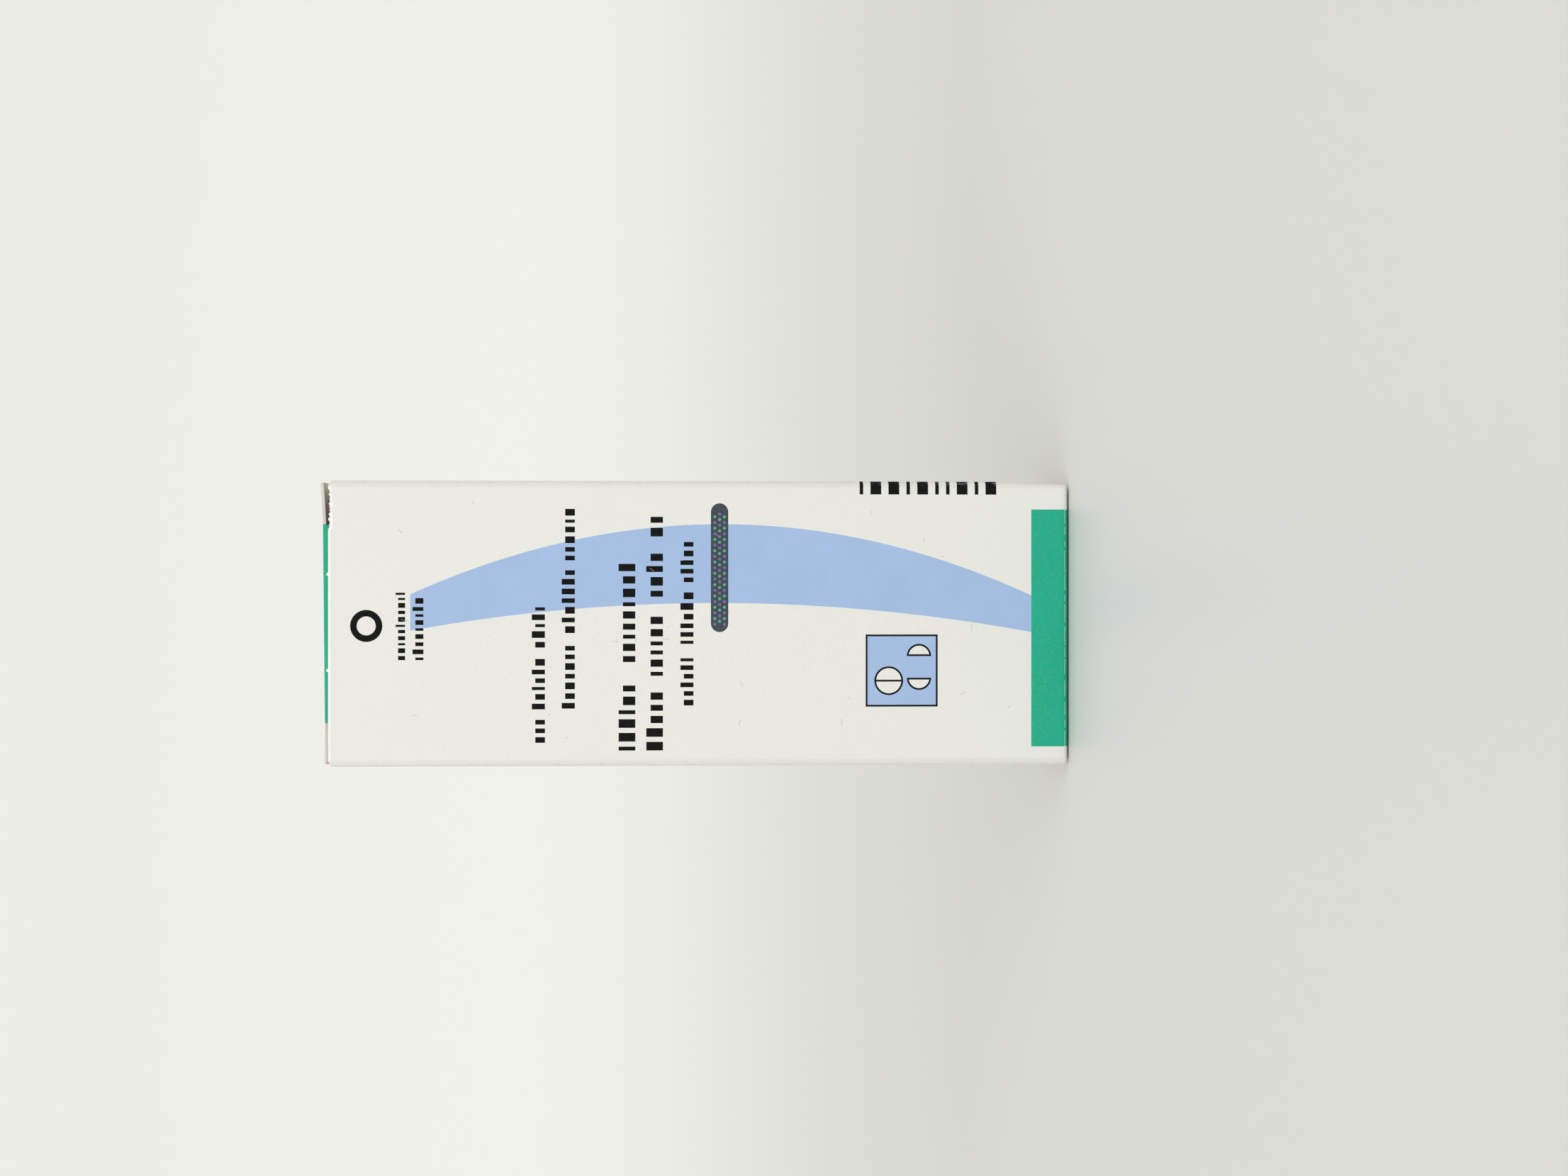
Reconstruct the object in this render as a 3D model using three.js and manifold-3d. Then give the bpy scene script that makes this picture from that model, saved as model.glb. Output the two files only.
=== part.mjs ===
// A box of tablets: a reverse-tuck carton of thin card that stands on its closed bottom end.
// Four blister strips and a folded leaflet are packed inside it.
// Millimetres. +Z is up, the printed front faces -Y, and the origin is the middle of the base.

import * as THREE from 'three';
import { mergeVertices } from 'three/addons/utils/BufferGeometryUtils.js';
import Module from 'manifold-3d';

const wasm = await Module();
wasm.setup();

// Card
const board = 0.4;
const foldRadius = 0.6;
const fitGap = 0.3;
const overlap = 0.1;

// Tablets: long axis across the strip, thickness along Y
const tabletLength = 18.5;
const tabletWidth = 9;
const tabletThickness = 4.4;
const tabletEdge = 2.4;
const domeInset = 2;
const shoulderInset = 0.6;
const shoulderDrop = 0.35;
const ovalPower = 2.5;
const scoreWidth = 1;
const scoreDepth = 0.4;

// Blister strips
const foil = 0.1;
const film = 0.25;
const pocketClearance = 0.175;
const pocketSideClearance = 0.15;
const pocketDraft = THREE.MathUtils.degToRad(5);
const pocketFloorRound = 0.5;
const pocketsPerStrip = 5;
const pocketPitch = 18.2;
const stripWidth = 37.2;
const stripCorner = 3;
const stripsPerSide = 2;

// Leaflet, folded to and fro
const paper = 0.15;
const paperLayers = 6;
const layerGap = 0.22;
const leafletInset = 0.6;
const leafletShortfall = 6.4;

// Lids and flaps
const lidStep = 0.6;
const slitLength = 5.85;
const tongueLength = 8;
const tongueCorner = 3;
const tongueClearance = 0.75;
const lidCorner = 1;
const creaseRadius = 0.3;
const rightLift = 0.7;
const leftLift = 0.15;
const flapSpacing = 4.6;
const flapClearance = 0.5;
const flapBackGap = 0.3;
const flapShoulder = 3;
const flapTaper = 4;
const headroom = 1.47;
const glueFlapWidth = 9;
const glueFlapTaper = 3;
const glueFlapInset = 3;
const nickWidth = 0.5;
const nickDepth = 0.35;
const nickSpacing = 13.2;
const nickOffset = 0.2;

// Pocket and strip sizes that follow from the tablet
const pocketDepth = tabletThickness + 2 * pocketClearance;
const pocketSpread = pocketDepth * Math.tan(pocketDraft);
const pocketHalfHeight = tabletWidth / 2 + pocketSideClearance + pocketSpread + film;
const stripDepth = foil + pocketDepth + film;

// Box sizes that follow from what it holds
const lidAxis = board / 2;
const wallStart = board + fitGap;
const stripBottom = wallStart + board + fitGap;
const stripEnd = lidAxis + tongueLength + tongueClearance + pocketHalfHeight - stripBottom;
const stripHeight = (pocketsPerStrip - 1) * pocketPitch + 2 * stripEnd;
const boxHeight = 2 * stripBottom + stripHeight + headroom;
const leafletThickness = paperLayers * paper + (paperLayers - 1) * layerGap;
const innerDepth = leafletThickness + 2 * fitGap + 2 * stripsPerSide * (stripDepth + fitGap);
const innerWidth = stripWidth + 2 * (board + fitGap);
const boxDepth = innerDepth + 2 * board;
const boxWidth = innerWidth + 2 * board;
const wallEnd = boxHeight - wallStart;
const cutEdge = boxHeight - lidStep;

// Lid sizes
const hingeY = boxDepth / 2 - board / 2;
const hingeZ = boxHeight - lidAxis;
const lidReach = hingeY + innerDepth / 2 - fitGap;
const lidWidth = boxWidth - 2 * fitGap;
const tongueHalf = lidWidth / 2 - slitLength;

// Facets
const foldSegments = 3;
const ovalPoints = 16;
const hingeSegments = 4;
const creaseSegments = 2;
const tongueSegments = 4;
const tongueCornerSteps = 3;
const lidMiddleSteps = 2;

const X = new THREE.Vector3(1, 0, 0);
const Y = new THREE.Vector3(0, 1, 0);
const Z = new THREE.Vector3(0, 0, 1);

// Solids
function toSolid(geometry) {
  const bare = geometry.clone();
  bare.deleteAttribute('normal');
  bare.deleteAttribute('uv');
  const merged = mergeVertices(bare, 1e-5);
  return new wasm.Manifold(new wasm.Mesh({
    numProp: 3,
    vertProperties: new Float32Array(merged.attributes.position.array),
    triVerts: new Uint32Array(merged.index.array),
  }));
}

function toGeometry(solid) {
  const mesh = solid.getMesh();
  const geometry = new THREE.BufferGeometry();
  geometry.setAttribute('position', new THREE.BufferAttribute(mesh.vertProperties, 3));
  geometry.setIndex(new THREE.BufferAttribute(mesh.triVerts, 1));
  geometry.computeVertexNormals();
  return geometry;
}

function unite(geometries) {
  return geometries.map(toSolid).reduce((whole, solid) => whole.add(solid));
}

// Shapes
function block(low, high) {
  const shape = new THREE.Shape([
    new THREE.Vector2(low.x, low.y),
    new THREE.Vector2(high.x, low.y),
    new THREE.Vector2(high.x, high.y),
    new THREE.Vector2(low.x, high.y),
  ]);
  const geometry = new THREE.ExtrudeGeometry(shape, { depth: high.z - low.z, bevelEnabled: false });
  return geometry.translate(0, 0, low.z);
}

function roundedRectangle(width, height, radius) {
  const x = width / 2 - radius;
  const y = height / 2 - radius;
  const shape = new THREE.Shape();
  shape.absarc(x, -y, radius, -Math.PI / 2, 0);
  shape.absarc(x, y, radius, 0, Math.PI / 2);
  shape.absarc(-x, y, radius, Math.PI / 2, Math.PI);
  shape.absarc(-x, -y, radius, Math.PI, 1.5 * Math.PI);
  shape.closePath();
  return shape;
}

// A flat sheet that stands up, with one face at y = 0 and its thickness towards -Y
function uprightSheet(shape, thickness) {
  const geometry = new THREE.ExtrudeGeometry(shape, {
    depth: thickness, bevelEnabled: false, curveSegments: foldSegments,
  });
  return geometry.applyMatrix4(new THREE.Matrix4().makeBasis(X, Z, Y.clone().negate()));
}

// Turns a piece of the top end over, so that it becomes the same piece of the bottom end
function turnOver(geometry) {
  return geometry.rotateX(Math.PI).translate(0, 0, boxHeight);
}

// A closed solid through rings of equally many points, which run anticlockwise as flatten sees them
function loft(rings, flatten) {
  const count = rings[0].length;
  const last = (rings.length - 1) * count;
  const faces = [];
  for (let ring = 0; ring < rings.length - 1; ring += 1) {
    for (let point = 0; point < count; point += 1) {
      const next = (point + 1) % count;
      const near = ring * count;
      const far = near + count;
      faces.push(near + point, near + next, far + next);
      faces.push(near + point, far + next, far + point);
    }
  }
  for (const [a, b, c] of capFaces(rings[0].map(flatten))) faces.push(c, b, a);
  for (const [a, b, c] of capFaces(rings.at(-1).map(flatten))) faces.push(last + a, last + b, last + c);
  const geometry = new THREE.BufferGeometry().setFromPoints(rings.flat());
  geometry.setIndex(faces);
  return geometry;
}

function capFaces(points) {
  return THREE.ShapeUtils.triangulateShape(points, []).map(([a, b, c]) => (
    THREE.ShapeUtils.area([points[a], points[b], points[c]]) > 0 ? [a, b, c] : [a, c, b]
  ));
}

// An oval ring in the plane y, wider along X
function ovalRing(halfLength, halfWidth, y) {
  return Array.from({ length: ovalPoints }, (_, point) => {
    const angle = (2 * Math.PI * (point + 0.5)) / ovalPoints;
    const round = (value) => Math.sign(value) * Math.abs(value) ** (2 / ovalPower);
    return new THREE.Vector3(halfLength * round(Math.cos(angle)), y, halfWidth * round(Math.sin(angle)));
  });
}

const ovalPlane = (point) => new THREE.Vector2(point.x, point.z);
const endPlane = (point) => new THREE.Vector2(point.y, point.z);

// Carton
function sleeve() {
  const outline = roundedRectangle(boxWidth, boxDepth, foldRadius);
  outline.holes.push(roundedRectangle(innerWidth, innerDepth, foldRadius - board));
  const geometry = new THREE.ExtrudeGeometry(outline, {
    depth: wallEnd - wallStart, bevelEnabled: false, curveSegments: foldSegments,
  });
  return geometry.translate(0, 0, wallStart);
}

// The front panel stands a little above the side panels, up to its cut edge
function frontLip() {
  const half = boxWidth / 2 - foldRadius;
  return block(
    new THREE.Vector3(-half, -boxDepth / 2, wallEnd - board),
    new THREE.Vector3(half, -innerDepth / 2, cutEdge),
  );
}

function nick(x) {
  return block(
    new THREE.Vector3(x - nickWidth / 2, -boxDepth / 2 - board, cutEdge - nickDepth),
    new THREE.Vector3(x + nickWidth / 2, -innerDepth / 2 + board, cutEdge + board),
  );
}

// A top dust flap, folded in from the side panel: side is +1 on the right and -1 on the left
function dustFlap(side) {
  const root = innerWidth / 2 + overlap;
  const tip = flapSpacing / 2;
  const front = hingeY - lidReach + board + flapClearance;
  const back = innerDepth / 2 - flapBackGap;
  const outline = [
    [root, front],
    [root, back],
    [innerWidth / 2 - flapShoulder, back],
    [tip, back - flapTaper],
    [tip, front + flapTaper / 2],
    [tip + flapTaper / 2, front],
  ];
  const shape = new THREE.Shape(outline.map(([x, y]) => new THREE.Vector2(side * x, y)));
  const geometry = new THREE.ExtrudeGeometry(shape, { depth: board, bevelEnabled: false });
  return geometry.translate(0, 0, wallEnd - board);
}

// The seam: a flap of the back panel, glued inside the left side panel
function glueFlap() {
  const back = innerDepth / 2 + overlap;
  const front = innerDepth / 2 - glueFlapWidth;
  const low = wallStart + board + glueFlapInset;
  const high = boxHeight - low;
  const shape = new THREE.Shape([
    new THREE.Vector2(back, low),
    new THREE.Vector2(back, high),
    new THREE.Vector2(front, high - glueFlapTaper),
    new THREE.Vector2(front, low + glueFlapTaper),
  ]);
  const geometry = new THREE.ExtrudeGeometry(shape, { depth: board + overlap, bevelEnabled: false });
  geometry.applyMatrix4(new THREE.Matrix4().makeBasis(Y, Z, X));
  return geometry.translate(-innerWidth / 2 - overlap, 0, 0);
}

function carton() {
  const pieces = [
    sleeve(),
    frontLip(),
    turnOver(frontLip()),
    glueFlap(),
    dustFlap(1),
    dustFlap(-1),
    turnOver(dustFlap(1)),
    turnOver(dustFlap(-1)),
  ];
  const nicks = [-1, 1].map((side) => nick(nickOffset + (side * nickSpacing) / 2));
  return toGeometry(unite(pieces).subtract(unite(nicks)));
}

// Lids
// Each section of a lid is cut at one x; lift raises its front fold and fades out at the hinge
function raised(x, lift) {
  const share = (2 * x) / lidWidth;
  const most = x > 0 ? lift.right : lift.left;
  return (y, z) => new THREE.Vector3(x, y, z + (most * share * share * (hingeY - y)) / lidReach);
}

function panelSection(x, lift) {
  const place = raised(x, lift);
  const section = [];
  for (let step = 0; step <= hingeSegments; step += 1) {
    const angle = Math.PI * (step / hingeSegments - 0.5);
    section.push(place(hingeY + lidAxis * Math.cos(angle), hingeZ + lidAxis * Math.sin(angle)));
  }
  const cornerLoss = Math.max(0, Math.abs(x) - (lidWidth / 2 - lidCorner));
  const fold = hingeY - lidReach + cornerLoss;
  for (let step = 0; step <= creaseSegments; step += 1) {
    const angle = (Math.PI / 2) * (1 + step / creaseSegments);
    const y = fold + creaseRadius + creaseRadius * Math.cos(angle);
    section.push(place(y, boxHeight - creaseRadius + creaseRadius * Math.sin(angle)));
  }
  section.push(place(fold, boxHeight - board));
  return section;
}

// The tuck tongue is curled about the hinge, as card that is bent in and out of its box becomes
function tongueSection(x, lift) {
  const place = raised(x, lift);
  const intoCorner = Math.max(0, Math.abs(x) - (tongueHalf - tongueCorner));
  const cornerRise = tongueCorner - Math.sqrt(tongueCorner ** 2 - Math.min(intoCorner, tongueCorner) ** 2);
  const sweep = (tongueLength - cornerRise) / lidReach;
  const side = (radius, forward) => Array.from({ length: tongueSegments + 1 }, (_, step) => {
    const angle = sweep * (forward ? step : tongueSegments - step) / tongueSegments;
    return place(hingeY - radius * Math.cos(angle), hingeZ - radius * Math.sin(angle));
  });
  return [...side(lidReach, true), ...side(lidReach - board, false)];
}

function lidStations() {
  const corner = Array.from({ length: tongueCornerSteps + 1 }, (_, step) => (
    tongueHalf - tongueCorner * (1 - Math.sin((Math.PI / 2) * (step / tongueCornerSteps)))
  ));
  const middle = Array.from({ length: lidMiddleSteps }, (_, step) => (
    (corner[0] * step) / lidMiddleSteps
  ));
  const end = [(tongueHalf + lidWidth / 2) / 2, lidWidth / 2 - lidCorner, lidWidth / 2];
  const right = [...middle, ...corner, ...end];
  const left = right.slice(1).map((x) => -x);
  return [...left, ...right].sort((a, b) => a - b);
}

function lid(lift) {
  const stations = lidStations();
  const tongueStations = stations.filter((x) => Math.abs(x) <= tongueHalf + 1e-9);
  const panel = loft(stations.map((x) => panelSection(x, lift)), endPlane);
  const tongue = loft(tongueStations.map((x) => tongueSection(x, lift)), endPlane);
  return toGeometry(unite([panel, tongue]));
}

// Contents
function tablet() {
  const half = tabletThickness / 2;
  const levels = [
    [half, domeInset],
    [half - shoulderDrop, shoulderInset],
    [tabletEdge / 2, 0],
    [-tabletEdge / 2, 0],
    [shoulderDrop - half, shoulderInset],
    [-half, domeInset],
  ];
  const rings = levels.map(([y, inset]) => (
    ovalRing(tabletLength / 2 - inset, tabletWidth / 2 - inset, y)
  ));
  const groove = new THREE.Shape([
    new THREE.Vector2(-scoreWidth, -half - scoreDepth),
    new THREE.Vector2(scoreWidth, -half - scoreDepth),
    new THREE.Vector2(0, -half + scoreDepth),
  ]);
  const cut = new THREE.ExtrudeGeometry(groove, { depth: 2 * tabletWidth, bevelEnabled: false });
  cut.translate(0, 0, -tabletWidth);
  return toGeometry(toSolid(loft(rings, ovalPlane)).subtract(toSolid(cut)));
}

// The space of one pocket, grown by skin; it begins at the plane y = start
function pocket(z, skin, start) {
  const floor = -foil - pocketDepth - skin;
  const turn = floor + pocketFloorRound;
  const spread = (y) => (y - floor) * Math.tan(pocketDraft);
  const ring = (y, inset) => ovalRing(
    tabletLength / 2 + pocketSideClearance + skin + spread(y) - inset,
    tabletWidth / 2 + pocketSideClearance + skin + spread(y) - inset,
    y,
  );
  const rings = [ring(start, 0), ring(turn, 0), ring(floor, pocketFloorRound)];
  return loft(rings, ovalPlane).translate(0, 0, z);
}

function pocketCentre(index) {
  return stripEnd + index * pocketPitch;
}

function stripOutline() {
  return roundedRectangle(stripWidth, stripHeight, stripCorner);
}

function blisterFilm() {
  const centres = Array.from({ length: pocketsPerStrip }, (_, index) => pocketCentre(index));
  const flange = uprightSheet(stripOutline(), film).translate(0, -foil, stripHeight / 2);
  const shells = centres.map((z) => pocket(z, film, -foil - film / 2));
  const hollows = centres.map((z) => pocket(z, 0, 0));
  return toGeometry(unite([flange, ...shells]).subtract(unite(hollows)));
}

function liddingFoil() {
  return uprightSheet(stripOutline(), foil).translate(0, 0, stripHeight / 2);
}

// One sheet folded to and fro: the section runs up one edge of the paper and back down the other
function leaflet() {
  const half = stripWidth / 2 - leafletInset;
  const bottom = -leafletThickness / 2;
  const rightEdge = [[-half, bottom]];
  const leftEdge = [[-half, bottom + paper]];
  for (let layer = 0; layer < paperLayers - 1; layer += 1) {
    const side = layer % 2 === 0 ? 1 : -1;
    const low = bottom + layer * (paper + layerGap);
    const high = low + paper + layerGap;
    const [outer, inner] = side > 0 ? [rightEdge, leftEdge] : [leftEdge, rightEdge];
    outer.push([side * half, low], [side * half, high + paper]);
    inner.push([side * (half - paper), low + paper], [side * (half - paper), high]);
  }
  const lastSide = paperLayers % 2 === 0 ? -1 : 1;
  const [upper, lower] = lastSide < 0 ? [rightEdge, leftEdge] : [leftEdge, rightEdge];
  upper.push([lastSide * half, -bottom]);
  lower.push([lastSide * half, -bottom - paper]);
  const section = [...rightEdge, ...leftEdge.reverse()].map(([x, y]) => new THREE.Vector2(x, y));
  const geometry = new THREE.ExtrudeGeometry(new THREE.Shape(section), {
    depth: stripHeight - leafletShortfall, bevelEnabled: false,
  });
  return geometry.translate(0, 0, stripBottom);
}

// Materials
const cardMaterial = new THREE.MeshStandardMaterial({ color: 0xf3f2ee, roughness: 0.75, metalness: 0 });
const filmMaterial = new THREE.MeshStandardMaterial({
  color: 0xe8ecee, roughness: 0.15, metalness: 0, transparent: true, opacity: 0.4,
});
const foilMaterial = new THREE.MeshStandardMaterial({ color: 0xc8cacc, roughness: 0.35, metalness: 1 });
const tabletMaterial = new THREE.MeshStandardMaterial({ color: 0xf7f5f0, roughness: 0.85, metalness: 0 });
const paperMaterial = new THREE.MeshStandardMaterial({ color: 0xfafaf7, roughness: 0.9, metalness: 0 });

// Assembly
function place(parent, name, geometry, material) {
  const mesh = new THREE.Mesh(geometry, material);
  mesh.name = name;
  parent.add(mesh);
  return mesh;
}

const stripParts = { film: blisterFilm(), foil: liddingFoil(), tablet: tablet() };

// One blister strip in its own frame: foil face at y = 0, pockets towards -Y, lower edge at z = 0
function blisterStrip(number) {
  const strip = new THREE.Group();
  place(strip, `blister_film_${number}`, stripParts.film, filmMaterial);
  place(strip, `lidding_foil_${number}`, stripParts.foil, foilMaterial);
  for (let index = 0; index < pocketsPerStrip; index += 1) {
    const mesh = place(strip, `tablet_${number}_${index + 1}`, stripParts.tablet, tabletMaterial);
    mesh.position.set(0, -foil - pocketClearance - tabletThickness / 2, pocketCentre(index));
  }
  return strip;
}

const box = new THREE.Group();
place(box, 'carton', carton(), cardMaterial);
place(box, 'top_lid', lid({ left: leftLift, right: rightLift }), cardMaterial);
place(box, 'bottom_lid', turnOver(lid({ left: 0, right: 0 })), cardMaterial);
place(box, 'leaflet', leaflet(), paperMaterial);

// The strips in front of the leaflet have their pockets to the front, those behind it to the back
for (const side of [-1, 1]) {
  for (let layer = 0; layer < stripsPerSide; layer += 1) {
    const fromMiddle = leafletThickness / 2 + fitGap + layer * (stripDepth + fitGap);
    const strip = blisterStrip(side < 0 ? stripsPerSide - layer : stripsPerSide + layer + 1);
    strip.position.set(0, side * fromMiddle, stripBottom);
    strip.rotation.z = side < 0 ? 0 : Math.PI;
    box.add(strip);
  }
}

export default box;
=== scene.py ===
# A box of tablets: a printed card sleeve with two tuck lids, blister strips and a folded leaflet.
# Lengths are in millimetres, and MM turns them into metres when a mesh is made.

import math
import random

import bpy
from mathutils import Matrix, Vector
from mathutils.geometry import delaunay_2d_cdt


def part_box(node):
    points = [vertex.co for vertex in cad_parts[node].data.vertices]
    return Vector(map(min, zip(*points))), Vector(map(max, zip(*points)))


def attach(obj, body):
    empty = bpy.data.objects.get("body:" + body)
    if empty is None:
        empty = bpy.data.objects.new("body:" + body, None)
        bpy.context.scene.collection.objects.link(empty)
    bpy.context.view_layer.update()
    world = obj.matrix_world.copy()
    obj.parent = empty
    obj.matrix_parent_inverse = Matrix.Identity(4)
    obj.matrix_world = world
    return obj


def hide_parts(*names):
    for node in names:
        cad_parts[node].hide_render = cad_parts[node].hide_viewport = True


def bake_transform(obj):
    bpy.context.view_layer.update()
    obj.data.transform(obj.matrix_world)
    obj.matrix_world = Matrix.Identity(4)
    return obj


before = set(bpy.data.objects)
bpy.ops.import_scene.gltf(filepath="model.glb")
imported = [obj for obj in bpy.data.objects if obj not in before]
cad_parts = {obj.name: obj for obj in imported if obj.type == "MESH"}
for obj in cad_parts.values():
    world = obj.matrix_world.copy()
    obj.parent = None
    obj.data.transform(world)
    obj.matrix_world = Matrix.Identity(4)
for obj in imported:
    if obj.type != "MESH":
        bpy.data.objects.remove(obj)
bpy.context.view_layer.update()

MM = 0.001


def node_box(name):
    low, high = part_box(name)
    return Vector(low) / MM, Vector(high) / MM


# Sizes that come from the frame
CARTON_LOW, CARTON_HIGH = node_box("carton")
_, BOTTOM_HIGH = node_box("bottom_lid")
WIDTH = CARTON_HIGH.x - CARTON_LOW.x
DEPTH = CARTON_HIGH.y - CARTON_LOW.y
CUT_EDGE = CARTON_HIGH.z
HEIGHT = CARTON_HIGH.z + CARTON_LOW.z
LID_HALF = BOTTOM_HIGH.x

# Card
BOARD = 0.4
CORNER = 0.85
BEND = 0.75
CREASE = 0.35
FLAP_DEPTH = 0.7
JOIN_DEPTH = 1.2
SEAM = 0.45
TAB_END = 0.1
PANEL_BULGE = 0.14

# Heights on the sheet: where the dust flaps start to fold at each end, where a lid's own sheet
# starts, and where a corner's rounded tab meets the side panel
BEND_START = HEIGHT - FLAP_DEPTH - BEND
LOW_BEND = HEIGHT - BEND_START
JOIN = HEIGHT - JOIN_DEPTH
CORNER_TOP = (CUT_EDGE + BEND_START) / 2

# Glue flap and dust flaps: front and back are measured from the middle of the side panel
GLUE_FLAP = 9.0
GLUE_FLAP_INSET = 3.0
FLAP_TIP = 2.3
FLAP_FRONT = -10.9
FLAP_BACK = 11.5
FLAP_TAPER = 4.0
FLAP_CORNER = 0.6
FLAP_ROOT = 3.5

# Ties left on the front's upper edge: width and the heights of both sides, then their places
TIE = (0.5, 0.28, 0.224)
TIE_PLACES = (-6.4, 6.8)

# Ragged stretch of that edge: start, end, pitch and greatest depth, then its least depths
TORN = (12.9, 18.6, 0.22, 0.34)
TORN_EDGE_LEAST = 0.03
TORN_FACE = (0.02, 0.3)

# Dent in the lower right edge: depth, height, and the power that keeps it near the fold
CRUSH = (0.5, 5.0, 24)

# How far the lower front edge stands off the table, and how high and deep that reaches
FRONT_RISE = (0.24, 5.0, 3.5)

# Meshes: steps in a fold and a crease, the angle in degrees that counts as smooth, the distance at
# which points merge, room for rounding, a gap kept from edges, and the pitches of inner points
TURN_STEPS = 5
CREASE_STEPS = 4
SMOOTH_ANGLE = 35
MERGE_DISTANCE = 1e-5
ROUNDING = 1e-7
EDGE_GAP = 0.01
GRID = 5.0
BASE_GRID = 1.3
BASE_GRID_HEIGHT = 4.0
LID_GRID = 1.6
TABLET_GRID = 1.5

# Lids: the corner between lid and tongue is cut off by two short lines that meet at LID_NOSE
HINGE_Y = DEPTH / 2 - BOARD / 2
LID_REACH = BOTTOM_HIGH.y + HINGE_Y
TONGUE_HALF = 13.55
TONGUE_LENGTH = 8.0
TONGUE_CORNER = 3.0
LID_ROOT = 18.6
LID_FLARE = 2.0
LID_CORNER = 0.8
LID_NOSE = (0.25, 0.2)
TONGUE_NECK = 0.15
TONGUE_CORNER_STEPS = 6
TONGUE_LINES = 6
TONGUE_LINED = 5.0
RIGHT_LIFT = 0.7
LEFT_LIFT = 0.15
BLEND_BEFORE = 0.2
BLEND_AFTER = 0.1

# Leaflet
PAPER = 0.15
PAPER_LAYERS = 6
PAPER_GAP = 0.22
PAPER_TURN_STEPS = 8
PAPER_RUN_STEPS = 4

# Tablets: length, width and thickness, the height of the straight side, how far in the dome goes,
# and the rings of points that shape it
TABLET = (18.5, 9.0, 4.4)
TABLET_EDGE = 2.4
DOME_INSET = 2.0
TABLET_SMOOTH_ANGLE = 40
TABLET_RINGS = (0.05, 0.2, 0.45, 0.8, 1.3, 2.0)
SCORE_HALF_WIDTH = 0.5
SCORE_DEPTH = 0.4
SCORE_END_GAP = 0.02
OVAL_POWER = 2.5
OVAL_POINTS = 56
INSET_HALVINGS = 24

# Blister strips
FILM = 0.25
POCKET_MOUTH = (10.066, 5.316)
STRIP_CORNER = 3.0
STRIPS = 4
STRIPS_IN_FRONT = 2
TABLETS_PER_STRIP = 5

# The film's outer face in a pocket: distance in from its mouth, and height over the foil's back
POCKET_PROFILE = (
    (-0.2, 0.35), (-0.03, 0.39), (0.02, 0.62),
    (0.4156, 4.6), (0.4826, 4.85), (0.6656, 5.033), (0.9156, 5.1),
)

# Printed fields on the front: x to the right of the middle, z above the base
GREEN_BAND = (-17.1, 15.8, 5.35)
LOWER_LID_GREEN = 6.0
LID_GREEN = (-16.2, 17.1)
LID_GREEN_START = 3.0
LID_GREEN_END = 1.2
STRIPE_Z = (5.1, 91.0)
STRIPE_RIGHT = (3.75, 16.98, 16.96, 4.04)
STRIPE_LEFT = (-1.26, 4.03, 4.25, -0.95)
STRIPE_STEPS = 48
EDGE_BARS = "WNWNNWNWWN"
EDGE_BARS_Z = 10.23
NARROW_BAR, WIDE_BAR, BAR_GAP = 0.5, 1.5, 1.0
BARS_ON_FRONT = 1.85
BARS_ON_SIDE = 6.1

# A framed sketch: left, base and size, then shares of its size for the tablet and its halves
PICTURE = (-11.53, 18.4, 10.0)
OUTLINE = 0.26
SKETCH_TABLET = (0.36, 0.68, 0.2)
SKETCH_HALVES = ((0.25, 0.40), (-0.25, 0.70))
SKETCH_HALF_LEVEL = 0.26
SKETCH_HALF_RADIUS = 0.17

# A dotted bar and a ring: left, right, low and high, then middle and both radii
DOTTED_BAR = (-1.2, 16.6, 47.4, 49.8)
DOT_PITCH = 0.78
DOT_ROWS = 3
DOT_ROW_PITCH = 0.663
DOT_START = 1.1
DOT_MARGINS = 2.0
DOT_RADIUS = 0.2
MARK = (-0.3, 97.0, 2.2, 1.3)

# A painted highlight band along the front's upper edge, and dust hairs: number, field (left, right, low,
# high) and shape
EDGE_HIGHLIGHT = 0.28
HAIRS = 26
HAIR_FIELD = (-WIDTH / 2 + 2, WIDTH / 2 - 3, 8, CUT_EDGE - 5)
HAIR_LENGTHS = (0.3, 1.1)
HAIR_BEND = 0.5
HAIR_WIDTH = 0.05
HAIR_STEPS = (0, 0.35, 0.7, 1)

# The worn line on the lower fold: half its width, how far round the fold, its dashes and gaps
WEAR_HALF = 0.055
WEAR_PLACE = 0.3
WEAR_LENGTHS = (0.8, 3.4)
WEAR_GAPS = (0.1, 0.9)

# Blocks: widths, heights and gap as shares of the row's height
BLOCK_WIDTHS = (0.24, 0.36, 0.44, 0.52)
BLOCK_HEIGHTS = (0.74, 0.74, 0.74, 1.0)
BLOCK_GAP = 0.3

# Rows of plain blocks: low z, high z, then the left and right end of each run
BLOCK_ROWS = (
    (91.7, 93.0, ((-5.0, 4.4),)),
    (89.2, 90.7, ((-5.0, 4.4),)),
    (72.6, 74.4, ((-16.4, -12.9), (-11.8, -4.6), (-3.3, 3.4))),
    (68.5, 70.3, ((-11.7, -2.6), (-1.3, 7.4), (8.7, 16.7))),
    (60.2, 62.5, ((-17.5, -7.1), (-5.3, 8.4))),
    (56.4, 58.7, ((-17.5, -9.0), (-7.2, 1.9), (3.7, 10.5), (12.0, 16.6))),
    (52.2, 54.0, ((-11.3, -4.1), (-2.8, 4.4), (5.7, 12.0))),
)

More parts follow.
